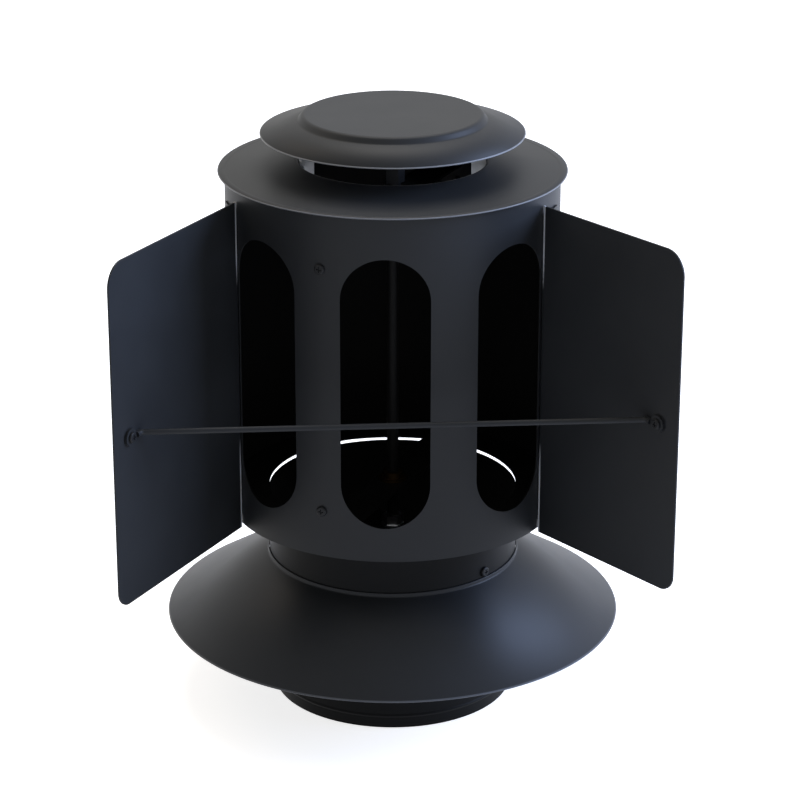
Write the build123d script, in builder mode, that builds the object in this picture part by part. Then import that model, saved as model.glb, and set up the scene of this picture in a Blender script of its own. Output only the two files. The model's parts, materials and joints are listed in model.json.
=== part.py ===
from build123d import *
import os
from math import atan2, cos, degrees, radians, sin

# A turning flue cowl. Its base slips on a flue pipe and carries a skirt and an upright spindle.
# The cowl hangs on the spindle: a drum with slots on one side, two tail fins braced by a rod, and a hat.
# Millimetres, +Z up, origin on the axis at the pipe's bottom rim. Angles start at the front (-Y) towards +X.

# Sheets and clearances
sheet = 1.0
heavy_sheet = 2.0
bend_radius = 1.6
seat_gap = 0.1
running_gap = 0.06
turning_gap = 0.3
hole_gap = 0.2

# Pipe and neck, one formed tube
pipe_radius = 84.6
neck_radius = 87.4
pipe_straight = 66.0
swage_height = 8.0
neck_top = 148.2
bead_height = 9.0
bead_rise = 0.7
bead_half_width = 1.4
lug_radius = 3.8
lug_rise = 1.7
lug_height = 4.1
lug_angles = (72.5, 252.5)

# Skirt round the neck
skirt_radius = 160.6
skirt_top = 101.7
skirt_drop = 43.8
skirt_collar = 2.6

# Bridge across the neck that carries the spindle
bridge_angle = 48.95
bridge_width = 24.0
bridge_screw_height = 108.3
bridge_tab = 20.0

# Spindle and its hardware
spindle_radius = 4.0
spindle_tail = 3.0
spindle_tip_round = 3.2
spindle_chamfer = 0.8
nut_flats = 13.0
nut_height = 6.5
washer_radius = 8.0
washer_sheet = 1.6

# Drum with slots on the sheltered side
drum_radius = 114.3
drum_overlap = 8.7
drum_height = 241.3
slot_pitch = 47.0
slot_width = 59.6
slot_height = 189.0
slot_rise = 24.0
slot_count = 3

# Floor ring that closes the drum round the neck
floor_opening = 87.0
floor_clearance = 2.2
floor_flange_margin = 1.5

# Lid on the drum
lid_overhang = 4.6
lid_opening = 64.5
lid_rise = 6.5
lid_collar = 12.0
leg_rivet_offset = 8.4
leg_rivet_depth = 6.6

# Hat above the lid's opening
hat_radius = 90.0
hat_gap = 18.7
hat_slope_rise = 8.3
hat_foot_radius = 63.8
hat_step_rise = 4.2
hat_plateau_radius = 60.75
hat_leg_angles = {"left": -90.0, "right": 90.0, "back": 180.0}
hat_leg_depth = 10.0
hat_leg_tab = 14.0
hat_leg_sheet = 1.5
hat_leg_foot_margin = 4.0

# Straps across the drum that hold its bearings
strap_angle = -22.05
strap_width = 24.0
strap_screw_offset = 18.8
strap_tab_margin = 8.0
upper_screw_depth = 37.8

# Bearings
bushing_radius = 7.0
bushing_flange_radius = 10.0
bushing_flange = 1.6
bushing_below = 2.0
bushing_above = 6.0
bearing_flats = 14.3
bearing_stem_radius = 5.5
bearing_hex_rise = 10.0
bearing_hex_height = 14.0
bearing_stem_below = 7.0
bearing_cap = 5.0
bearing_nut_flats = 17.0
bearing_nut_height = 5.0

# Tail fins, folded plates riveted to the drum
fin_left_width = 155.3
fin_right_width = 132.9
fin_roots = {"left": -62.9, "right": 63.2}
fin_directions = {"left": -25.5, "right": 41.4}
fin_sheet = 1.2
fin_drop = 2.5
fin_height = 234.4
fin_top_round = 16.0
fin_bottom_round = 11.5
fin_flange_width = 24.0
fin_flange_margin = 6.0
fin_rivet_count = 4
fin_rivet_margin = 22.0

# Brace rod between the fins
brace_rise = 114.8
brace_inset = 17.8
brace_radius = 1.9
brace_bend = 4.0
brace_eye_radius = 5.8
brace_eye_sheet = 1.8
brace_eye_reach = 10.5

# Screws and rivets
screw_radius = 2.0
screw_head_radius = 3.6
screw_head = 1.9
screw_head_round = 1.1
screw_recess = 0.8
screw_spare = 3.0
rivet_radius = 1.6
rivet_head_radius = 3.2
rivet_head = 1.1
rivet_head_taper = 35.0
rivet_tail_radius = 2.4
rivet_tail = 1.4
rivet_tail_taper = 20.0
brace_nut_flats = 7.0
brace_nut_height = 3.0

# Levels that follow from the sizes above
neck_bore = neck_radius - sheet
drum_bore = drum_radius - sheet
drum_bottom = neck_top - drum_overlap
drum_top = drum_bottom + drum_height
slot_middle = drum_bottom + slot_rise + slot_height / 2
lid_radius = drum_radius + lid_overhang
lid_rim_top = drum_top + sheet
lid_top = lid_rim_top + lid_rise
hat_rim = lid_top + hat_gap
hat_foot = hat_rim + hat_slope_rise
hat_top = hat_foot + hat_step_rise
floor_top = neck_top + floor_clearance + sheet
lower_strap_bottom = floor_top + seat_gap
lower_screw_height = lower_strap_bottom + heavy_sheet + strap_screw_offset
upper_screw_height = drum_top - upper_screw_depth
upper_strap_bottom = upper_screw_height + strap_screw_offset - heavy_sheet
upper_strap_top = upper_strap_bottom + heavy_sheet
bearing_hex_bottom = upper_strap_top + bearing_hex_rise
bearing_top = bearing_hex_bottom + bearing_hex_height
bearing_bore_top = bearing_top - bearing_cap
spindle_top = bearing_bore_top - turning_gap
bridge_top = bridge_screw_height + bridge_tab / 2
bridge_bottom = bridge_top - heavy_sheet
fin_bottom = drum_bottom - fin_drop
brace_height = fin_bottom + brace_rise


def outward(angle):
    """Unit vector pointing away from the axis at an angle from the front."""
    return Vector(sin(radians(angle)), -cos(radians(angle)), 0)


def sideways(angle):
    """Unit vector square to the outward one, towards growing angles."""
    return Vector(cos(radians(angle)), sin(radians(angle)), 0)


def facing(angle, height, radius=0.0):
    """Plane that looks outward at an angle, its origin at a radius and a height."""
    centre = outward(angle) * radius + Vector(0, 0, height)
    return Plane(origin=centre, x_dir=sideways(angle), z_dir=outward(angle))


def level(angle, height):
    """Level plane whose x runs outward at an angle and y towards growing angles."""
    return Plane(origin=(0, 0, height), x_dir=outward(angle), z_dir=(0, 0, 1))


def save(piece, name):
    """Labels a finished piece and writes its file."""
    piece.part.label = name
    export_step(piece.part, f"parts/{name}.step")


def beside(points, distance):
    """Bent line at an even distance to the left of another."""
    path = [Vector(*point) for point in points]
    normals = [(end - start).normalized().rotate(Axis.Z, 90) for start, end in zip(path, path[1:])]
    line = []
    for index, point in enumerate(path):
        before = normals[max(index - 1, 0)]
        after = normals[min(index, len(normals) - 1)]
        mitre = before + after
        line.append(point + mitre * (distance / mitre.dot(before)))
    return line


def sheet_profile(points, radii):
    """Cut through a turned sheet, from its outer line, with its thickness to the left and rounded bends."""
    inner = beside(points, sheet)
    with BuildSketch(Plane.XZ) as profile:
        with BuildLine():
            FilletPolyline(*points, radius=radii)
            FilletPolyline(*inner, radius=radii)
            Line(points[0], inner[0])
            Line(points[-1], inner[-1])
        make_face()
    return profile.sketch


def strap(outer_radius, angle, width, bottom, tab_bottom, tab_height, screw_height, centre_hole):
    """Level strap across a tube with a curved tab at each end, one screw hole in each tab."""
    span = 2 * outer_radius
    with BuildPart() as piece:
        with BuildSketch(level(angle, bottom)):
            Circle(outer_radius)
            Rectangle(span, width, mode=Mode.INTERSECT)
            Circle(centre_hole, mode=Mode.SUBTRACT)
        extrude(amount=heavy_sheet)
        with BuildSketch(level(angle, tab_bottom)):
            Circle(outer_radius)
            Circle(outer_radius - heavy_sheet, mode=Mode.SUBTRACT)
            Rectangle(span, width, mode=Mode.INTERSECT)
        extrude(amount=tab_height)
        with BuildSketch(facing(angle, screw_height)):
            Circle(screw_radius + hole_gap)
        extrude(amount=span, both=True, mode=Mode.SUBTRACT)
    return piece


def screws(planes, length):
    """Pan-head screws with a cross recess, heads standing on the planes and shanks going in."""
    with BuildPart() as piece:
        for plane in planes:
            with BuildSketch(plane):
                Circle(screw_head_radius)
            extrude(amount=screw_head)
            rim = piece.faces(Select.LAST).sort_by(Axis(plane.origin, plane.z_dir))[-1].edges()
            fillet(rim, radius=screw_head_round)
            with BuildSketch(plane):
                Circle(screw_radius)
            extrude(amount=-length)
            with BuildSketch(plane.offset(screw_head - screw_recess)):
                Rectangle(screw_head_radius, screw_recess)
                Rectangle(screw_recess, screw_head_radius)
            extrude(amount=screw_head, mode=Mode.SUBTRACT)
    return piece


def rivets(planes, grip):
    """Rivets with a low round head on the plane and an upset tail behind the grip."""
    with BuildPart() as piece:
        for plane in planes:
            with BuildSketch(plane):
                Circle(rivet_head_radius)
            extrude(amount=rivet_head, taper=rivet_head_taper)
            with BuildSketch(plane):
                Circle(rivet_radius)
            extrude(amount=-grip)
            with BuildSketch(plane.offset(-grip)):
                Circle(rivet_tail_radius)
            extrude(amount=-rivet_tail, taper=rivet_tail_taper)
    return piece


def hex_nuts(planes, flats, height, bore):
    """Hexagon nuts standing on the planes."""
    with BuildPart() as piece:
        for plane in planes:
            with BuildSketch(plane):
                RegularPolygon(flats / 2, 6, major_radius=False)
                Circle(bore, mode=Mode.SUBTRACT)
            extrude(amount=height)
    return piece


os.makedirs("parts", exist_ok=True)

# Base pipe: straight at the flue, a rolled bead near the rim, then swaged out to the neck
swage_top = pipe_straight + swage_height
pipe_line = [
    (pipe_radius, 0),
    (pipe_radius, bead_height - bead_half_width),
    (pipe_radius + bead_rise, bead_height),
    (pipe_radius, bead_height + bead_half_width),
    (pipe_radius, pipe_straight),
    (neck_radius, swage_top),
    (neck_radius, neck_top),
]
pipe_profile = sheet_profile(pipe_line, 3 * [bead_rise] + 2 * [bend_radius])
with BuildPart() as base_pipe:
    revolve(pipe_profile, axis=Axis.Z)
    for angle in lug_angles:
        with Locations(outward(angle) * (pipe_radius + lug_rise - lug_radius) + Vector(0, 0, lug_height)):
            Sphere(lug_radius)
    with BuildSketch(Plane.XY):
        Circle(pipe_radius - sheet)
    extrude(amount=lug_height + lug_radius, mode=Mode.SUBTRACT)
    with BuildSketch(facing(bridge_angle, bridge_screw_height)):
        Circle(screw_radius + hole_gap)
    extrude(amount=2 * neck_radius, both=True, mode=Mode.SUBTRACT)
save(base_pipe, "base_pipe")

# Skirt: a cone with a short collar round the neck
skirt_collar_radius = neck_radius + seat_gap + sheet
skirt_line = [
    (skirt_radius, skirt_top - skirt_drop),
    (skirt_collar_radius, skirt_top),
    (skirt_collar_radius, skirt_top + skirt_collar),
]
skirt_profile = sheet_profile(skirt_line, bend_radius)
with BuildPart() as skirt:
    revolve(skirt_profile, axis=Axis.Z)
save(skirt, "skirt")

# Bridge across the neck, its tabs screwed to the neck wall
bridge = strap(
    neck_bore - seat_gap,
    bridge_angle,
    bridge_width,
    bridge_bottom,
    bridge_top - bridge_tab,
    bridge_tab,
    bridge_screw_height,
    spindle_radius + hole_gap,
)
save(bridge, "neck_bridge")

neck_screw_planes = [facing(bridge_angle + turn, bridge_screw_height, neck_radius) for turn in (0, 180)]
screw_length = sheet + seat_gap + heavy_sheet + screw_spare
save(screws(neck_screw_planes, screw_length), "neck_screws")

# Spindle, clamped to the bridge between washers and nuts
spindle_bottom = bridge_bottom - washer_sheet - nut_height - spindle_tail
with BuildPart() as spindle:
    with BuildSketch(Plane.XY.offset(spindle_bottom)):
        Circle(spindle_radius)
    extrude(amount=spindle_top - spindle_bottom)
    fillet(spindle.edges().sort_by(Axis.Z)[-1], radius=spindle_tip_round)
    chamfer(spindle.edges().sort_by(Axis.Z)[0], length=spindle_chamfer)
save(spindle, "spindle")

with BuildPart() as spindle_washers:
    for bottom in (bridge_bottom - washer_sheet, bridge_top):
        with BuildSketch(Plane.XY.offset(bottom)):
            Circle(washer_radius)
            Circle(spindle_radius + running_gap, mode=Mode.SUBTRACT)
        extrude(amount=washer_sheet)
save(spindle_washers, "spindle_washers")

spindle_nut_planes = [
    Plane.XY.offset(bridge_bottom - washer_sheet - nut_height),
    Plane.XY.offset(bridge_top + washer_sheet),
]
spindle_nuts = hex_nuts(spindle_nut_planes, nut_flats, nut_height, spindle_radius + running_gap)
save(spindle_nuts, "spindle_nuts")

# Drum: a rolled tube with round-ended slots on one side
slot_angles = [slot_pitch * (index - (slot_count - 1) / 2) for index in range(slot_count)]
strap_ends = (strap_angle, strap_angle + 180)
strap_screw_heights = (lower_screw_height, upper_screw_height)
strap_screw_spots = [(angle, height) for height in strap_screw_heights for angle in strap_ends]

fin_flange_bottom = drum_bottom + fin_flange_margin
fin_flange_top = fin_bottom + fin_height - fin_flange_margin
fin_rivet_bottom = fin_flange_bottom + fin_rivet_margin
fin_rivet_step = (fin_flange_top - fin_rivet_margin - fin_rivet_bottom) / (fin_rivet_count - 1)
fin_rivet_turn = degrees(fin_flange_width / 2 / drum_radius)
fin_signs = {"left": -1, "right": 1}
fin_widths = {"left": fin_left_width, "right": fin_right_width}
fin_rivet_spots = {
    name: [
        (fin_roots[name] + fin_signs[name] * fin_rivet_turn, fin_rivet_bottom + index * fin_rivet_step)
        for index in range(fin_rivet_count)
    ]
    for name in fin_roots
}

with BuildPart() as drum:
    with BuildSketch(Plane.XY.offset(drum_bottom)):
        Circle(drum_radius)
        Circle(drum_bore, mode=Mode.SUBTRACT)
    extrude(amount=drum_height)
    for angle in slot_angles:
        with BuildSketch(facing(angle, slot_middle)):
            SlotOverall(slot_height, slot_width, rotation=90)
        extrude(amount=2 * drum_radius, mode=Mode.SUBTRACT)
    for angle, height in strap_screw_spots:
        with BuildSketch(facing(angle, height)):
            Circle(screw_radius + hole_gap)
        extrude(amount=2 * drum_radius, mode=Mode.SUBTRACT)
    for name in fin_roots:
        for angle, height in fin_rivet_spots[name]:
            with BuildSketch(facing(angle, height)):
                Circle(rivet_radius + seat_gap)
            extrude(amount=2 * drum_radius, mode=Mode.SUBTRACT)
save(drum, "drum")

# Floor ring: a flat plate just above the neck's rim, its outer edge turned down along the drum
floor_radius = drum_bore - seat_gap
floor_line = [
    (floor_radius, drum_bottom + floor_flange_margin),
    (floor_radius, floor_top),
    (floor_opening, floor_top),
]
floor_profile = sheet_profile(floor_line, bend_radius)
with BuildPart() as floor_ring:
    revolve(floor_profile, axis=Axis.Z)
save(floor_ring, "floor_ring")

# Lid: flat rim on the drum, shallow cone, and a collar turned down round the opening
lid_line = [
    (lid_radius, lid_rim_top),
    (drum_bore, lid_rim_top),
    (lid_opening - sheet, lid_top),
    (lid_opening - sheet, lid_top - lid_collar),
]
lid_profile = sheet_profile(lid_line, bend_radius)
leg_rivet_turn = degrees(atan2(leg_rivet_offset, lid_opening))
leg_rivet_height = lid_top - leg_rivet_depth
with BuildPart() as lid:
    revolve(lid_profile, axis=Axis.Z)
    for angle in hat_leg_angles.values():
        with BuildSketch(facing(angle + leg_rivet_turn, leg_rivet_height)):
            Circle(rivet_radius + seat_gap)
        extrude(amount=lid_opening + sheet, mode=Mode.SUBTRACT)
save(lid, "lid")

# Hat: a pressed disc with a raised plateau
hat_line = [
    (hat_radius, hat_rim),
    (hat_foot_radius, hat_foot),
    (hat_plateau_radius, hat_top),
    (0, hat_top),
]
hat_profile = sheet_profile(hat_line, bend_radius)
with BuildPart() as hat:
    revolve(hat_profile, axis=Axis.Z)
save(hat, "hat")

# Hat legs: an upright web on edge, a tab riveted inside the lid's collar and a foot under the plateau
collar_bore = lid_opening - sheet
leg_outer = collar_bore - seat_gap
leg_inner = leg_outer - hat_leg_depth
leg_bottom = lid_top - lid_collar
leg_top = hat_top - sheet - seat_gap
leg_foot_reach = hat_plateau_radius - hat_leg_foot_margin - leg_inner
for name, angle in hat_leg_angles.items():
    with BuildPart() as leg:
        with BuildSketch(Plane(origin=(0, 0, 0), x_dir=outward(angle), z_dir=-sideways(angle))):
            with BuildLine():
                Polyline(
                    (leg_inner, leg_bottom),
                    (leg_outer, leg_bottom),
                    (leg_outer, hat_rim),
                    (leg_inner + leg_foot_reach, leg_top),
                    (leg_inner, leg_top),
                    close=True,
                )
            make_face()
        extrude(amount=-hat_leg_sheet)
        with BuildSketch(level(angle, leg_bottom)):
            Circle(leg_outer)
            Circle(leg_outer - hat_leg_sheet, mode=Mode.SUBTRACT)
            with Locations((leg_outer, 0)):
                tab_align = (Align.CENTER, Align.MIN)
                Rectangle(2 * hat_leg_depth, hat_leg_tab, align=tab_align, mode=Mode.INTERSECT)
        extrude(amount=lid_collar)
        with BuildSketch(level(angle, leg_top - hat_leg_sheet)):
            with Locations((leg_inner, 0)):
                Rectangle(leg_foot_reach, hat_leg_tab, align=(Align.MIN, Align.MIN))
        extrude(amount=hat_leg_sheet)
        with BuildSketch(facing(angle + leg_rivet_turn, leg_rivet_height)):
            Circle(rivet_radius + seat_gap)
        extrude(amount=lid_opening, mode=Mode.SUBTRACT)
    save(leg, f"hat_leg_{name}")

leg_rivet_planes = [
    facing(angle + leg_rivet_turn, leg_rivet_height, lid_opening) for angle in hat_leg_angles.values()
]
save(rivets(leg_rivet_planes, sheet + hat_leg_sheet + 2 * seat_gap), "hat_leg_rivets")

# Straps across the drum, alike but one the other way up
strap_radius = drum_bore - seat_gap
strap_tab = strap_screw_offset + strap_tab_margin + heavy_sheet
lower_strap = strap(
    strap_radius,
    strap_angle,
    strap_width,
    lower_strap_bottom,
    lower_strap_bottom,
    strap_tab,
    lower_screw_height,
    bushing_radius + seat_gap,
)
save(lower_strap, "lower_strap")
upper_strap = strap(
    strap_radius,
    strap_angle,
    strap_width,
    upper_strap_bottom,
    upper_strap_top - strap_tab,
    strap_tab,
    upper_screw_height,
    bearing_stem_radius + seat_gap,
)
save(upper_strap, "upper_strap")
strap_screw_planes = [facing(angle, height, drum_radius) for angle, height in strap_screw_spots]
save(screws(strap_screw_planes, screw_length), "strap_screws")

# Lower bushing: a flanged sleeve that guides the spindle
with BuildPart() as bushing:
    with BuildSketch(Plane.XY.offset(lower_strap_bottom - bushing_below)):
        Circle(bushing_radius)
    extrude(amount=bushing_below + heavy_sheet + bushing_above)
    with BuildSketch(Plane.XY.offset(lower_strap_bottom + heavy_sheet)):
        Circle(bushing_flange_radius)
    extrude(amount=bushing_flange)
    with BuildSketch(Plane.XY):
        Circle(spindle_radius + running_gap)
    extrude(amount=spindle_top, mode=Mode.SUBTRACT)
save(bushing, "lower_bushing")

# Upper bearing: a capped sleeve with a hexagon head that rides on the spindle's tip
bearing_bottom = upper_strap_bottom - bearing_stem_below
with BuildPart() as bearing:
    with BuildSketch(Plane.XY.offset(bearing_bottom)):
        Circle(bearing_stem_radius)
    extrude(amount=bearing_hex_bottom - bearing_bottom)
    with BuildSketch(Plane.XY.offset(bearing_hex_bottom)):
        RegularPolygon(bearing_flats / 2, 6, major_radius=False)
    extrude(amount=bearing_hex_height)
    with BuildSketch(Plane.XY):
        Circle(spindle_radius + running_gap)
    extrude(amount=bearing_bore_top, mode=Mode.SUBTRACT)
save(bearing, "upper_bearing")
bearing_nut_bottoms = (upper_strap_top, upper_strap_bottom - bearing_nut_height)
bearing_nut_planes = [Plane.XY.offset(bottom) for bottom in bearing_nut_bottoms]
bearing_nut_bore = bearing_stem_radius + running_gap
bearing_nuts = hex_nuts(bearing_nut_planes, bearing_nut_flats, bearing_nut_height, bearing_nut_bore)
save(bearing_nuts, "bearing_nuts")

# Tail fins: a flat plate and a flange that follows the drum, riveted to it
flange_inner = drum_radius + seat_gap
flange_outer = flange_inner + fin_sheet
flange_turn = degrees(fin_flange_width / drum_radius)
brace_ends = {}
for name, root in fin_roots.items():
    sign = fin_signs[name]
    direction = outward(fin_directions[name])
    inward_face = sideways(fin_directions[name]) * -sign
    root_point = outward(root) * (flange_inner + fin_sheet / 2)
    plan = Plane(origin=root_point + Vector(0, 0, fin_bottom), x_dir=direction, z_dir=(0, 0, 1))
    flange_end = root + sign * flange_turn
    with BuildPart() as fin:
        with BuildSketch(plan):
            Rectangle(fin_widths[name], fin_sheet, align=(Align.MIN, Align.CENTER))
        extrude(amount=fin_height)
        tail_end = fin.faces().sort_by(Axis(root_point, direction))[-1]
        tail_corners = tail_end.edges().filter_by(Axis(root_point, inward_face)).sort_by(Axis.Z)
        fillet(tail_corners[0], radius=fin_bottom_round)
        tail_end = fin.faces().sort_by(Axis(root_point, direction))[-1]
        fillet(tail_end.edges().sort_by(Axis.Z)[-1], radius=fin_top_round)
        with BuildSketch(Plane.XY.offset(fin_flange_bottom)):
            Circle(flange_outer)
            Circle(flange_inner, mode=Mode.SUBTRACT)
            wedge_turns = (root, (root + flange_end) / 2, flange_end)
            wedge_points = [outward(angle) * (2 * flange_outer) for angle in wedge_turns]
            corners = [(0, 0)] + [(point.X, point.Y) for point in wedge_points]
            with BuildLine(mode=Mode.PRIVATE) as wedge:
                Polyline(*corners, close=True)
            make_face(wedge.line, mode=Mode.INTERSECT)
        extrude(amount=fin_flange_top - fin_flange_bottom)
        for angle, height in fin_rivet_spots[name]:
            with BuildSketch(facing(angle, height)):
                Circle(rivet_radius + seat_gap)
            extrude(amount=2 * drum_radius, mode=Mode.SUBTRACT)
        eye_reach = fin_widths[name] - brace_inset
        eye_point = root_point + direction * eye_reach + inward_face * (fin_sheet / 2)
        eye_place = eye_point + Vector(0, 0, brace_height)
        face_plane = Plane(origin=eye_place, x_dir=direction, z_dir=inward_face)
        with BuildSketch(face_plane):
            Circle(screw_radius + hole_gap)
        extrude(amount=-2 * fin_sheet, mode=Mode.SUBTRACT)
    brace_ends[name] = face_plane
    save(fin, f"fin_{name}")
    fin_rivet_planes = [facing(angle, height, flange_outer) for angle, height in fin_rivet_spots[name]]
    save(rivets(fin_rivet_planes, fin_sheet + sheet + 2 * seat_gap), f"fin_rivets_{name}")

# Brace rod: round between two bends, with flattened eyes that lie on the fins' inner faces
rod_lift = seat_gap + brace_radius
rod_points = []
for name in ("left", "right"):
    plane = brace_ends[name]
    bend_distances = (brace_eye_radius, brace_eye_reach)
    ends = [plane.from_local_coords(Vector(-distance, 0, rod_lift)) for distance in bend_distances]
    rod_points += ends if name == "left" else ends[::-1]
with BuildPart() as brace:
    with BuildLine() as rod_path:
        FilletPolyline(*rod_points, radius=brace_bend)
    with BuildSketch(Plane(origin=rod_path.line @ 0, z_dir=rod_path.line % 0)):
        Circle(brace_radius)
    sweep(path=rod_path.line)
    for plane in brace_ends.values():
        with BuildSketch(plane.offset(seat_gap)):
            Circle(brace_eye_radius)
            with Locations((-brace_eye_radius, 0)):
                Rectangle(2 * brace_eye_radius, 2 * brace_radius)
            Circle(screw_radius + hole_gap, mode=Mode.SUBTRACT)
        extrude(amount=brace_eye_sheet)
save(brace, "brace_rod")

brace_screw_planes = [plane.offset(seat_gap + brace_eye_sheet) for plane in brace_ends.values()]
brace_grip = brace_eye_sheet + seat_gap + fin_sheet
save(screws(brace_screw_planes, brace_grip + brace_nut_height + sheet), "brace_screws")
brace_nut_planes = [plane.offset(-fin_sheet - brace_nut_height) for plane in brace_ends.values()]
brace_nuts = hex_nuts(brace_nut_planes, brace_nut_flats, brace_nut_height, screw_radius + running_gap)
save(brace_nuts, "brace_nuts")
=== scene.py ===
import json
import math

import bmesh
import bpy
import numpy as np
from mathutils import Matrix, Vector


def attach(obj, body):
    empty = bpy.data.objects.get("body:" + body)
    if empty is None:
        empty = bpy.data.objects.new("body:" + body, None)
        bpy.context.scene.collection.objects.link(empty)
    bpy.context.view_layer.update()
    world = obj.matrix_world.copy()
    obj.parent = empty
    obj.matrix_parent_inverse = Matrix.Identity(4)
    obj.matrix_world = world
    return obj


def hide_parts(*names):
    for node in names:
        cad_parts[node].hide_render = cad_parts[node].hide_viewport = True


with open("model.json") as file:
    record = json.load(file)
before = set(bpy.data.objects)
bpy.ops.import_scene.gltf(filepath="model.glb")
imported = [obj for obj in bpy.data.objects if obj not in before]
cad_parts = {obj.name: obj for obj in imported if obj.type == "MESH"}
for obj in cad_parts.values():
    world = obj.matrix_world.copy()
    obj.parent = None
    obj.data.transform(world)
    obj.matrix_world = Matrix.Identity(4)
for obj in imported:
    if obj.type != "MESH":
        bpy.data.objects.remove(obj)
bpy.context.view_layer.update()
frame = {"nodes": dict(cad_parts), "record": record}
nodes = frame["nodes"]
record = frame["record"]
body_of = {node: body for body, members in record["behaviour"]["bodies"].items() for node in members}
slot_of = {part["node"]: part["material_slot"] for part in record["subparts"]}

MM = 0.001

# Camera: a long lens, above and in front of the cowl, turned a little to its right
SENSOR = 36.0
FOCAL_PIXELS = 2894.9
PICTURE_PIXELS = 800
CAMERA_DISTANCE = 1.8926
CAMERA_HEIGHT = 0.93257
CAMERA_TURN = 2.45
CAMERA_YAW = 0.156
CAMERA_PITCH = 20.830
CAMERA_ROLL = 0.067
CAMERA_REACH = 50

# Light: azimuth and elevation of each lamp in degrees, its width in metres, its watts and its colour
LAMPS = {"window": (92, 24, 1.6, 150, "bcd2ff"),
         "room": (-110, 45, 1.6, 12, "ffe8cc"),
         "ceiling": (180, 72, 2.0, 60, "fffaf2")}
LAMP_DISTANCE = 3.0
LAMP_AIM = 0.2
ROOM_GLOW = 0.2
ROOM_GLOW_SEEN = 1.0
FLOOR_GLOW_SEEN = 0.8
FLOOR_SIZE = 12.0
FLOOR_DROP = 0.0005

# Colours of the powder coat, of the same coat where it is dusty, and of the painted shade inside the tubes
COAT = "1e1f21"
COAT_DUSTY = "282a2c"
PAINTED_SHADE_COLOUR = "050505"

# Painted highlight: a pale line is painted from this far inside a rim to this far, and as strongly as this
RIM_HIGHLIGHT_START = 0.8 * MM
RIM_HIGHLIGHT_FULL = 0.3 * MM
RIM_HIGHLIGHT_STRENGTH = 0.8
# and along a fold, as a painted highlight too, to this far off it, fading in over this height beyond the
# slots' straight part
FOLD_HIGHLIGHT_FULL = 1.6 * MM
FOLD_HIGHLIGHT_END = 2.2 * MM
FOLD_HIGHLIGHT_FADE = 25 * MM

# Middle of the wall of each tube whose inner side is blackened as painted shade: heights between which it
# changes, its radius below and above them
DRUM_WALL = (0.0, 1.0, 113.8 * MM, 113.8 * MM)
PIPE_WALL = (66 * MM, 74 * MM, 84.1 * MM, 86.9 * MM)

# Turned sheets in millimetres, as the solids have them: the piece's name, its section as radius and height
# from the free rim inwards, its bends' radii, the radius beyond which a highlight is painted on the rim, and
# the colour of the painted highlight
TURNED_SHEETS = {
    "hat": ("hat_disc", [(90.0, 406.5), (63.9, 414.75), (60.9, 419.0), (0, 419.0)], [3.0, 3.0], 90.0,
            "8c8e91"),
    "lid": ("lid_disc", [(118.9, 381.3), (113.3, 381.3), (64.0, 387.8), (64.0, 376.3)], [2.0, 2.0], 118.9,
            "84868a"),
    "skirt": ("skirt_cone", [(160.3, 57.45), (88.0, 101.4), (88.0, 104.3)], [2.0], 160.2, "66686b"),
}
SHEET = 1.0

# Tail fins in millimetres, as the solids have them: the side, the root's angle and the plate's direction,
# both in degrees from the front towards +X, and the plate's width
FINS = {"left": (-1, -62.9, -25.5, 155.3), "right": (1, 63.2, 41.4, 132.9)}
# Colour of the highlight painted along each fin's fold
FIN_HIGHLIGHT_COLOUR = "f2f3f4"
FIN_SHEET = 1.2
FIN_BEND = 2.2
FIN_BOTTOM = 137.0
FIN_TOP = 371.4
FIN_BOTTOM_ROUND = 11.5
FIN_TOP_ROUND = 16.0
FIN_EDGE = 0.35
FIN_EDGE_STEPS = 3
FIN_EDGE_ANGLE = 60
FLANGE_RADIUS = 115.0
FLANGE_TURN = 12.03
FLANGE_ROOT_TURN = 1.2
FLANGE_BOTTOM = 145.5
FLANGE_TOP = 365.4
SLOT_MIDDLE = 258.0
SLOT_STRAIGHT = 55.0

# Grids: steps of each bend, of each round edge and of a whole turn, and the flat kept beside a bend
ARC_STEPS = 8
EDGE_STEPS = 8
TURN_STEPS = 288
FLAT_GUARD = 0.5
# Columns of a fin's grid: of its flange, those of its bend that keep the flange's height, of its plate and of
# its tail, and where the plate's begin after the root and end before the tail
FLANGE_STEPS = 12
BEND_ON_FLANGE = 4
PLATE_STEPS = 24
TAIL_STEPS = 17
PLATE_START = 6
PLATE_END = 18
# Rows of a fin's grid, as shares of its height: the two nearest an edge, and the number of the even ones
EDGE_SHARE = 0.004
INNER_SHARE = 0.03
INNER_ROWS = 33

# Sockets of a Mix node for colours and for plain values
COLOUR_A, COLOUR_B, COLOUR_OUT = 6, 7, 2
VALUE_A, VALUE_B, VALUE_OUT = 2, 3, 0


def linear(hex_colour):
    """An sRGB colour, written as six hex digits, as linear red, green, blue and 1."""
    parts = [int(hex_colour[start:start + 2], 16) / 255 for start in (0, 2, 4)]
    return [c / 12.92 if c <= 0.04045 else ((c + 0.055) / 1.055) ** 2.4 for c in parts] + [1.0]


def add_node(tree, kind, settings=None, links=None):
    """Adds a node; settings are attributes or, by socket name or number, input values; links are inputs and
    the output sockets that feed them."""
    node = tree.nodes.new(kind)
    for name, value in (settings or {}).items():
        if isinstance(name, str) and hasattr(node, name):
            setattr(node, name, value)
        else:
            node.inputs[name].default_value = value
    for name, source in (links or {}).items():
        tree.links.new(source, node.inputs[name])
    return node


def new_material(name):
    """An empty material with its tree, output and object coordinates."""
    material = bpy.data.materials.new(name)
    material.use_nodes = True
    tree = material.node_tree
    tree.nodes.clear()
    output = tree.nodes.new("ShaderNodeOutputMaterial")
    place = tree.nodes.new("ShaderNodeTexCoord").outputs["Object"]
    return material, tree, output, place


def in_plan(tree, place):
    """A point's place with its height taken out, whose length is the distance from the axis."""
    return add_node(tree, "ShaderNodeVectorMath", {"operation": "MULTIPLY", 1: (1, 1, 0)},
                    {0: place}).outputs[0]


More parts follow.
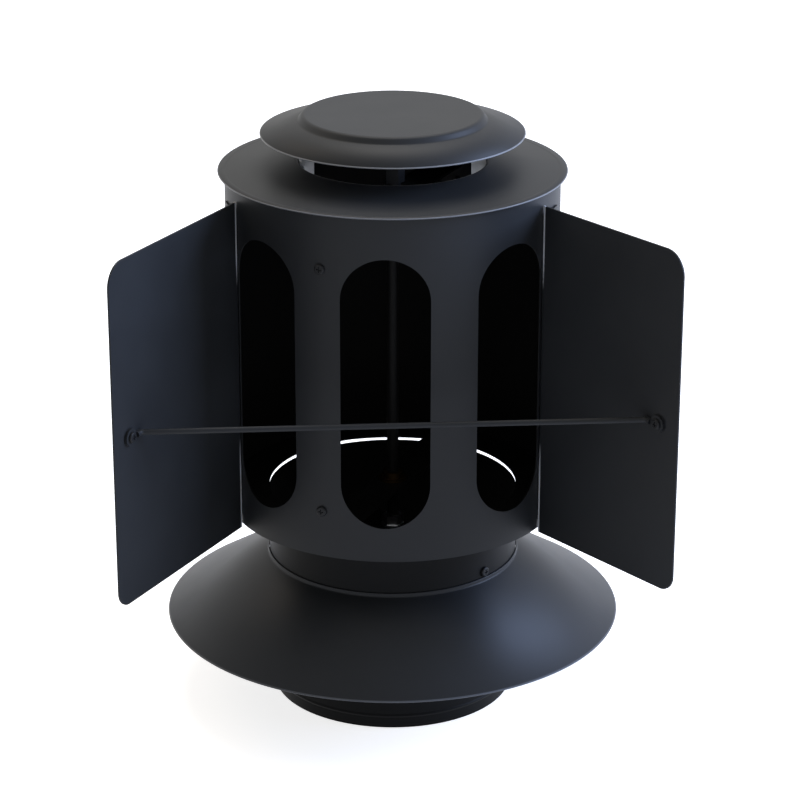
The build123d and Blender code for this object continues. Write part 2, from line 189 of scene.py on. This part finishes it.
def inner_side(tree, place, swage_bottom, swage_top, radius_below, radius_above):
    """1 on the faces nearer the axis than the middle of a tube's wall, else 0. The wall's radius changes
    evenly between two heights."""
    radius = add_node(tree, "ShaderNodeVectorMath", {"operation": "LENGTH"}, {0: in_plan(tree, place)})
    height = add_node(tree, "ShaderNodeSeparateXYZ", {}, {0: place}).outputs["Z"]
    wall = add_node(tree, "ShaderNodeMapRange",
                    {"From Min": swage_bottom, "From Max": swage_top, "To Min": radius_below,
                     "To Max": radius_above}, {"Value": height})
    return add_node(tree, "ShaderNodeMath", {"operation": "LESS_THAN"},
                    {0: radius.outputs["Value"], 1: wall.outputs[0]}).outputs[0]


def painted_rim_highlight(tree, place, radius):
    """How strong the painted highlight is at a round rim: 0 well inside its radius, and its full strength next
    to it.
    """
    reach = add_node(tree, "ShaderNodeVectorMath", {"operation": "LENGTH"}, {0: in_plan(tree, place)})
    return add_node(tree, "ShaderNodeMapRange",
                    {"From Min": radius - RIM_HIGHLIGHT_START, "From Max": radius - RIM_HIGHLIGHT_FULL, "To Min": 0.0,
                     "To Max": RIM_HIGHLIGHT_STRENGTH}, {"Value": reach.outputs["Value"]}).outputs[0]


def painted_fold_highlight(tree, place, corner, middle, half_height):
    """How strong the painted highlight is along an upright fold: 1 at the fold, 0 from the highlight's far end
    off it, and only farther than half_height above or below the slots' middle."""
    off = add_node(tree, "ShaderNodeVectorMath", {"operation": "DISTANCE", 1: corner},
                   {0: in_plan(tree, place)})
    near = add_node(tree, "ShaderNodeMapRange",
                    {"From Min": FOLD_HIGHLIGHT_FULL, "From Max": FOLD_HIGHLIGHT_END, "To Min": 1.0, "To Max": 0.0},
                    {"Value": off.outputs["Value"]})
    height = add_node(tree, "ShaderNodeSeparateXYZ", {}, {0: place}).outputs["Z"]
    rise = add_node(tree, "ShaderNodeMath", {"operation": "SUBTRACT", 1: middle}, {0: height})
    away = add_node(tree, "ShaderNodeMath", {"operation": "ABSOLUTE"}, {0: rise.outputs[0]})
    clear = add_node(tree, "ShaderNodeMapRange",
                     {"From Min": half_height, "From Max": half_height + FOLD_HIGHLIGHT_FADE},
                     {"Value": away.outputs[0]})
    return add_node(tree, "ShaderNodeMath", {"operation": "MULTIPLY"},
                    {0: near.outputs[0], 1: clear.outputs[0]}).outputs[0]


def powder_coated_steel(name, colour=COAT, dusty=COAT_DUSTY, rough=0.47, specular=0.16, wall=None, rim=None,
                        fold=None, highlight_colour=None):
    """Sheet steel with a baked satin powder coat: an orange-peel skin with a tight grain, a few paler
    patches 60 mm across and small differences of gloss, so that it reads as near black but never flat. Peel
    and grain are drawn coarser than real, or they wouldn't show. Where a tube's wall is given, its inner side
    is dulled and blackened as painted shade. Beyond a rim's radius, and along a fold clear of the slots, a
    pale, glossier line is painted as a highlight."""
    material, tree, output, place = new_material(name)
    cloud = add_node(tree, "ShaderNodeTexNoise", {"Scale": 1 / (60 * MM), "Detail": 5.0, "Roughness": 0.6},
                     {"Vector": place})
    tint = add_node(tree, "ShaderNodeMix",
                    {"data_type": "RGBA", COLOUR_A: linear(colour), COLOUR_B: linear(dusty)},
                    {"Factor": cloud.outputs["Fac"]}).outputs[COLOUR_OUT]
    gloss = add_node(tree, "ShaderNodeMapRange", {"To Min": rough - 0.05, "To Max": rough + 0.07},
                     {"Value": cloud.outputs["Fac"]}).outputs[0]
    peel = add_node(tree, "ShaderNodeTexNoise", {"Scale": 1 / (2.2 * MM), "Detail": 2.0}, {"Vector": place})
    grain = add_node(tree, "ShaderNodeTexNoise", {"Scale": 1 / (0.5 * MM), "Detail": 1.0},
                     {"Vector": place})
    skin = add_node(tree, "ShaderNodeMix", {"data_type": "FLOAT", "Factor": 0.4},
                    {VALUE_A: peel.outputs["Fac"], VALUE_B: grain.outputs["Fac"]})
    bump = add_node(tree, "ShaderNodeBump", {"Strength": 0.25, "Distance": 0.05 * MM},
                    {"Height": skin.outputs[VALUE_OUT]})
    # Painted shade: the inner side of a tube is blackened and dulled
    if wall:
        painted_shade_side = inner_side(tree, place, *wall)
        tint = add_node(tree, "ShaderNodeMix", {"data_type": "RGBA", COLOUR_B: linear(PAINTED_SHADE_COLOUR)},
                        {"Factor": painted_shade_side, COLOUR_A: tint}).outputs[COLOUR_OUT]
        gloss = add_node(tree, "ShaderNodeMix", {"data_type": "FLOAT", VALUE_B: 0.85},
                         {"Factor": painted_shade_side, VALUE_A: gloss}).outputs[VALUE_OUT]
    # Painted highlight: a pale, glossier line at a rim or along a fold
    if highlight_colour:
        highlight_share = painted_rim_highlight(tree, place, rim) if rim else painted_fold_highlight(tree, place, *fold)
        tint = add_node(tree, "ShaderNodeMix", {"data_type": "RGBA", COLOUR_B: linear(highlight_colour)},
                        {"Factor": highlight_share, COLOUR_A: tint}).outputs[COLOUR_OUT]
        gloss = add_node(tree, "ShaderNodeMix", {"data_type": "FLOAT", VALUE_B: 0.3},
                         {"Factor": highlight_share, VALUE_A: gloss}).outputs[VALUE_OUT]
    shader = add_node(tree, "ShaderNodeBsdfPrincipled", {"IOR": 1.5, "Specular IOR Level": specular},
                      {"Base Color": tint, "Roughness": gloss, "Normal": bump.outputs[0]})
    tree.links.new(shader.outputs[0], output.inputs["Surface"])
    return material


def zinc_plated_steel(name):
    """Bright zinc on cut strip and bar: a metal, lightly clouded over 9 mm, with fine drawing lines, drawn
    coarser than real, and dull patches."""
    material, tree, output, place = new_material(name)
    cloud = add_node(tree, "ShaderNodeTexNoise", {"Scale": 1 / (9 * MM), "Detail": 4.0}, {"Vector": place})
    tint = add_node(tree, "ShaderNodeMix",
                    {"data_type": "RGBA", COLOUR_A: linear("a9aaab"), COLOUR_B: linear("d8dadc")},
                    {"Factor": cloud.outputs["Fac"]})
    gloss = add_node(tree, "ShaderNodeMapRange", {"To Min": 0.22, "To Max": 0.42},
                     {"Value": cloud.outputs["Fac"]})
    lines = add_node(tree, "ShaderNodeTexNoise", {"Scale": 1 / (0.8 * MM), "Detail": 2.0},
                     {"Vector": place})
    bump = add_node(tree, "ShaderNodeBump", {"Strength": 0.2, "Distance": 0.03 * MM},
                    {"Height": lines.outputs["Fac"]})
    shader = add_node(tree, "ShaderNodeBsdfPrincipled", {"Metallic": 1.0},
                      {"Base Color": tint.outputs[COLOUR_OUT], "Roughness": gloss.outputs[0],
                       "Normal": bump.outputs[0]})
    tree.links.new(shader.outputs[0], output.inputs["Surface"])
    return material


def sintered_bronze(name):
    """Oil-filled sintered bronze: dark brown gold, rather dull, and grainy with open pores, drawn coarser
    than real."""
    material, tree, output, place = new_material(name)
    pores = add_node(tree, "ShaderNodeTexNoise", {"Scale": 1 / (0.7 * MM), "Detail": 3.0},
                     {"Vector": place})
    tint = add_node(tree, "ShaderNodeMix",
                    {"data_type": "RGBA", COLOUR_A: linear("2c2214"), COLOUR_B: linear("4d3b23")},
                    {"Factor": pores.outputs["Fac"]})
    bump = add_node(tree, "ShaderNodeBump", {"Strength": 0.4, "Distance": 0.04 * MM},
                    {"Height": pores.outputs["Fac"]})
    shader = add_node(tree, "ShaderNodeBsdfPrincipled", {"Metallic": 1.0, "Roughness": 0.5},
                      {"Base Color": tint.outputs[COLOUR_OUT], "Normal": bump.outputs[0]})
    tree.links.new(shader.outputs[0], output.inputs["Surface"])
    return material


def seen_directly(tree):
    """1 for rays from the camera, from a gloss or through a clear material, else 0."""
    path = add_node(tree, "ShaderNodeLightPath")
    either = add_node(tree, "ShaderNodeMath", {"operation": "MAXIMUM"},
                      {0: path.outputs["Is Camera Ray"], 1: path.outputs["Is Glossy Ray"]})
    return add_node(tree, "ShaderNodeMath", {"operation": "MAXIMUM"},
                    {0: either.outputs[0], 1: path.outputs["Is Transmission Ray"]}).outputs[0]


def rounded_line(corners, radii):
    """A line through corners in millimetres, each inner one turned into an arc tangent to both its runs.
    The arc's middle lies on the bisector, radius / cos(half turn) from the corner, and its points share out
    the turn evenly. A point half a millimetre before and after each arc keeps the runs flat."""
    corners = np.asarray(corners, float)
    pieces = [corners[:1]]
    for before, corner, after, radius in zip(corners, corners[1:], corners[2:], radii):
        back = (before - corner) / np.linalg.norm(before - corner)
        ahead = (after - corner) / np.linalg.norm(after - corner)
        turn = math.pi - math.acos(np.dot(back, ahead))
        reach = radius * math.tan(turn / 2)
        bisector = (back + ahead) / np.linalg.norm(back + ahead)
        middle = corner + bisector * radius / math.cos(turn / 2)
        share = np.linspace(0, 1, ARC_STEPS + 1)[:, None]
        first, last = corner + back * reach - middle, corner + ahead * reach - middle
        arc = middle + (np.sin((1 - share) * turn) * first + np.sin(share * turn) * last) / math.sin(turn)
        pieces += [arc[:1] + back * FLAT_GUARD, arc, arc[-1:] + ahead * FLAT_GUARD]
    pieces.append(corners[-1:])
    return np.concatenate(pieces)


def sheet_section(line, thickness, reaches_axis):
    """Closed outline of a bent sheet in section: the line moved by half the thickness to either side, along
    its normals, with a half round at each free end. A line that reaches the axis ends there flat."""
    runs = np.gradient(line, axis=0)
    runs /= np.linalg.norm(runs, axis=1)[:, None]
    normals = np.stack([-runs[:, 1], runs[:, 0]], 1)
    half = thickness / 2
    line = line.copy()
    line[0] += runs[0] * half
    if not reaches_axis:
        line[-1] -= runs[-1] * half
    sweep = np.linspace(-math.pi / 2, math.pi / 2, EDGE_STEPS + 1)[1:-1, None]
    start = line[0] - half * (np.cos(sweep) * runs[0] + np.sin(sweep) * normals[0])
    end = line[-1] + half * (np.cos(sweep) * runs[-1] - np.sin(sweep) * normals[-1])
    near, far = line + normals * half, line - normals * half
    if reaches_axis:
        near[-1, 0] = far[-1, 0] = 0.0
        return np.concatenate([near[::-1], start[::-1], far])
    return np.concatenate([near, end, far[::-1], start])


def place_piece(name, node, corners, faces, material):
    """Makes a mesh piece of points in millimetres that stands in for a node of the cowl's or the base's,
    with its doubles merged and its faces turned outwards."""
    mesh = bpy.data.meshes.new(name)
    mesh.from_pydata((corners * MM).tolist(), [], faces.tolist())
    shell = bmesh.new()
    shell.from_mesh(mesh)
    bmesh.ops.remove_doubles(shell, verts=shell.verts, dist=0.001 * MM)
    bmesh.ops.recalc_face_normals(shell, faces=shell.faces)
    shell.to_mesh(mesh)
    shell.free()
    mesh.shade_smooth()
    mesh.materials.append(material)
    piece = bpy.data.objects.new(name, mesh)
    bpy.context.scene.collection.objects.link(piece)
    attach(piece, body_of[node])
    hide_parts(node)
    return piece


def turned_sheet(name, node, corners, radii, material):
    """A sheet turned about the axis: each point (r, z) of its section goes to (r cos a, r sin a, z), with a
    stepping evenly round."""
    reaches_axis = corners[-1][0] == 0
    section = sheet_section(rounded_line(corners, radii), SHEET, reaches_axis)
    angles = np.linspace(0, 2 * math.pi, TURN_STEPS, endpoint=False)
    grid = np.stack([np.outer(section[:, 0], np.cos(angles)), np.outer(section[:, 0], np.sin(angles)),
                     np.repeat(section[:, 1:], TURN_STEPS, axis=1)], -1)
    rows = len(section) if not reaches_axis else len(section) - 1
    row, column = np.meshgrid(np.arange(rows), np.arange(TURN_STEPS), indexing="ij")
    below, beside = (row + 1) % len(section), (column + 1) % TURN_STEPS
    faces = np.stack([row * TURN_STEPS + column, row * TURN_STEPS + beside, below * TURN_STEPS + beside,
                      below * TURN_STEPS + column], -1)
    place_piece(name, node, grid.reshape(-1, 3), faces.reshape(-1, 4), material)


def outward(angle):
    """Unit vector in the plan, away from the axis at an angle from the front towards +X."""
    return np.array([math.sin(math.radians(angle)), -math.cos(math.radians(angle))])


def folded_fin(name, node, root, direction, width, side, material):
    """A tail fin folded from one sheet. In the plan its line runs round the drum along the flange, turns at
    the root in a bend and goes straight to the tail. Each point of the line stands from a lower to an upper
    height: the flange's, the plate's, or, within a corner's radius r of the tail, the plate's less
    r - sqrt(r^2 - (r - d)^2) at the distance d from the tail."""
    turns = root + side * np.linspace(FLANGE_TURN, FLANGE_ROOT_TURN, FLANGE_STEPS)
    flange = np.stack([np.sin(np.radians(turns)), -np.cos(np.radians(turns))], 1) * FLANGE_RADIUS
    corner = outward(root) * FLANGE_RADIUS
    plate = rounded_line([flange[-1], corner, corner + outward(direction) * width], [FIN_BEND])
    tail_sweep = np.linspace(0, math.pi / 2, TAIL_STEPS)
    from_tail = np.concatenate([np.linspace(width - PLATE_START, PLATE_END, PLATE_STEPS),
                                FIN_TOP_ROUND * (1 - np.sin(tail_sweep))])
    straight = corner + outward(direction) * (width - from_tail)[:, None]
    line = np.concatenate([flange, plate[1:-1], straight])
    tail = np.concatenate([np.full(len(line) - len(from_tail), width), from_tail])
    on_flange = np.arange(len(line)) < len(flange) + BEND_ON_FLANGE
    high_gap = np.clip(FIN_TOP_ROUND - tail, 0, None)
    low_gap = np.clip(FIN_BOTTOM_ROUND - tail, 0, None)
    high = FIN_TOP - FIN_TOP_ROUND + np.sqrt(FIN_TOP_ROUND ** 2 - high_gap ** 2)
    low = FIN_BOTTOM + FIN_BOTTOM_ROUND - np.sqrt(FIN_BOTTOM_ROUND ** 2 - low_gap ** 2)
    high = np.where(on_flange, FLANGE_TOP, high)
    low = np.where(on_flange, FLANGE_BOTTOM, low)
    share = np.concatenate([[0, EDGE_SHARE], np.linspace(INNER_SHARE, 1 - INNER_SHARE, INNER_ROWS),
                            [1 - EDGE_SHARE, 1]])
    heights = low[:, None] + (high - low)[:, None] * share
    grid = np.concatenate([np.repeat(line[:, None], len(share), axis=1), heights[..., None]], -1)
    row, column = np.meshgrid(np.arange(len(line) - 1), np.arange(len(share) - 1), indexing="ij")
    first = row * len(share) + column
    faces = np.stack([first, first + len(share), first + len(share) + 1, first + 1], -1)
    piece = place_piece(name, node, grid.reshape(-1, 3), faces.reshape(-1, 4), material)
    wall = piece.modifiers.new("sheet", "SOLIDIFY")
    wall.thickness = FIN_SHEET * MM
    wall.offset = 0
    edge = piece.modifiers.new("edge", "BEVEL")
    edge.width = FIN_EDGE * MM
    edge.segments = FIN_EDGE_STEPS
    edge.limit_method = "ANGLE"
    edge.angle_limit = math.radians(FIN_EDGE_ANGLE)


def soft_lamp(name, azimuth, elevation, width, watts, colour):
    """A square lamp that looks at the cowl's middle from an azimuth, counted from the front towards +X."""
    lamp = bpy.data.lights.new(name, "AREA")
    lamp.shape = "SQUARE"
    lamp.size = width
    lamp.energy = watts
    lamp.color = linear(colour)[:3]
    turn, rise = math.radians(azimuth), math.radians(elevation)
    reach = LAMP_DISTANCE * math.cos(rise)
    height = LAMP_DISTANCE * math.sin(rise) + LAMP_AIM
    place = Vector((reach * math.sin(turn), -reach * math.cos(turn), height))
    aim = (Vector((0, 0, LAMP_AIM)) - place).to_track_quat("-Z", "Y")
    lamp_object = bpy.data.objects.new(name, lamp)
    lamp_object.matrix_world = Matrix.Translation(place) @ aim.to_matrix().to_4x4()
    bpy.context.scene.collection.objects.link(lamp_object)


# Every solid takes the material of its slot in the record, but for the drum and the base pipe, whose inner
# sides are blackened as painted shade, and the parts inside them, whose coat is darkened as painted shade
painted_shade_coat = powder_coated_steel("coated_steel_painted_shade", "080808", "101010", rough=0.6, specular=0.15)
finishes = {"black_coat": powder_coated_steel("powder_coated_steel"),
            "black_hardware": powder_coated_steel("black_oxide_steel", "141516", "202123"),
            "zinc": zinc_plated_steel("zinc_plated_steel"),
            "bronze": sintered_bronze("sintered_bronze")}
own_finishes = {"drum": powder_coated_steel("powder_coated_drum", wall=DRUM_WALL),
                # The base pipe's coat is darker and duller than the drum's
                "base_pipe": powder_coated_steel("darker_coated_pipe", "0a0b0c", "101112", specular=0.08,
                                                 wall=PIPE_WALL),
                "floor_ring": painted_shade_coat, "lower_strap": painted_shade_coat, "upper_strap": painted_shade_coat, "neck_bridge": painted_shade_coat,
                "spindle": painted_shade_coat}
for node, slot in slot_of.items():
    mesh = nodes[node].data
    mesh.materials.clear()
    mesh.materials.append(own_finishes.get(node, finishes[slot]))

# The turned sheets and the folded fins, whose round edges the solids leave sharp
for node, (name, line, bends, rim, highlight_colour) in TURNED_SHEETS.items():
    turned_sheet(name, node, line, bends,
                 powder_coated_steel(f"powder_coated_{node}", rim=rim * MM, highlight_colour=highlight_colour))
for hand, (side, root, direction, width) in FINS.items():
    fold = (*(outward(root) * FLANGE_RADIUS * MM), 0.0)
    finish = powder_coated_steel(f"powder_coated_fin_{hand}", highlight_colour=FIN_HIGHLIGHT_COLOUR,
                                 fold=(fold, SLOT_MIDDLE * MM, SLOT_STRAIGHT * MM))
    folded_fin(f"folded_fin_{hand}", f"fin_{hand}", root, direction, width, side, finish)

# Pale floor that keeps the shadow
floor_mesh = bpy.data.meshes.new("floor")
half = FLOOR_SIZE / 2
floor_mesh.from_pydata([(-half, -half, -FLOOR_DROP), (half, -half, -FLOOR_DROP), (half, half, -FLOOR_DROP),
                        (-half, half, -FLOOR_DROP)], [], [(0, 1, 2, 3)])
floor = bpy.data.objects.new("floor", floor_mesh)
bpy.context.scene.collection.objects.link(floor)
paint, tree, output, place = new_material("matt_white_floor")
speckle = add_node(tree, "ShaderNodeTexNoise", {"Scale": 1 / (200 * MM)}, {"Vector": place})
white = add_node(tree, "ShaderNodeMix",
                 {"data_type": "RGBA", COLOUR_A: linear("e8e8e8"), COLOUR_B: linear("ececec")},
                 {"Factor": speckle.outputs["Fac"]})
glow = add_node(tree, "ShaderNodeMath", {"operation": "MULTIPLY", 1: FLOOR_GLOW_SEEN},
                {0: seen_directly(tree)})
shader = add_node(tree, "ShaderNodeBsdfPrincipled", {"Roughness": 0.9, "Emission Color": (1, 1, 1, 1)},
                  {"Base Color": white.outputs[COLOUR_OUT], "Emission Strength": glow.outputs[0]})
tree.links.new(shader.outputs[0], output.inputs["Surface"])
floor_mesh.materials.append(paint)

# World: an even soft room, white where it is seen
world = bpy.data.worlds.new("studio")
bpy.context.scene.world = world
world.use_nodes = True
tree = world.node_tree
tree.nodes.clear()
strength = add_node(tree, "ShaderNodeMapRange", {"To Min": ROOM_GLOW, "To Max": ROOM_GLOW_SEEN},
                    {"Value": seen_directly(tree)})
room = add_node(tree, "ShaderNodeBackground", {"Color": (1, 1, 1, 1)}, {"Strength": strength.outputs[0]})
add_node(tree, "ShaderNodeOutputWorld", {}, {"Surface": room.outputs[0]})

for name, settings in LAMPS.items():
    soft_lamp(name, *settings)

lens = bpy.data.cameras.new("camera")
lens.sensor_width = SENSOR
lens.lens = FOCAL_PIXELS / PICTURE_PIXELS * SENSOR
lens.clip_end = CAMERA_REACH
camera = bpy.data.objects.new("camera", lens)
bpy.context.scene.collection.objects.link(camera)
round_axis = Matrix.Rotation(math.radians(CAMERA_TURN), 4, "Z")
stand = Matrix.Translation((0, -CAMERA_DISTANCE, CAMERA_HEIGHT))
look = (Matrix.Rotation(math.radians(-CAMERA_YAW), 4, "Z")
        @ Matrix.Rotation(math.radians(90 - CAMERA_PITCH), 4, "X")
        @ Matrix.Rotation(math.radians(CAMERA_ROLL), 4, "Z"))
camera.matrix_world = round_axis @ stand @ look
bpy.context.scene.camera = camera
bpy.context.scene.view_settings.view_transform = "Standard"
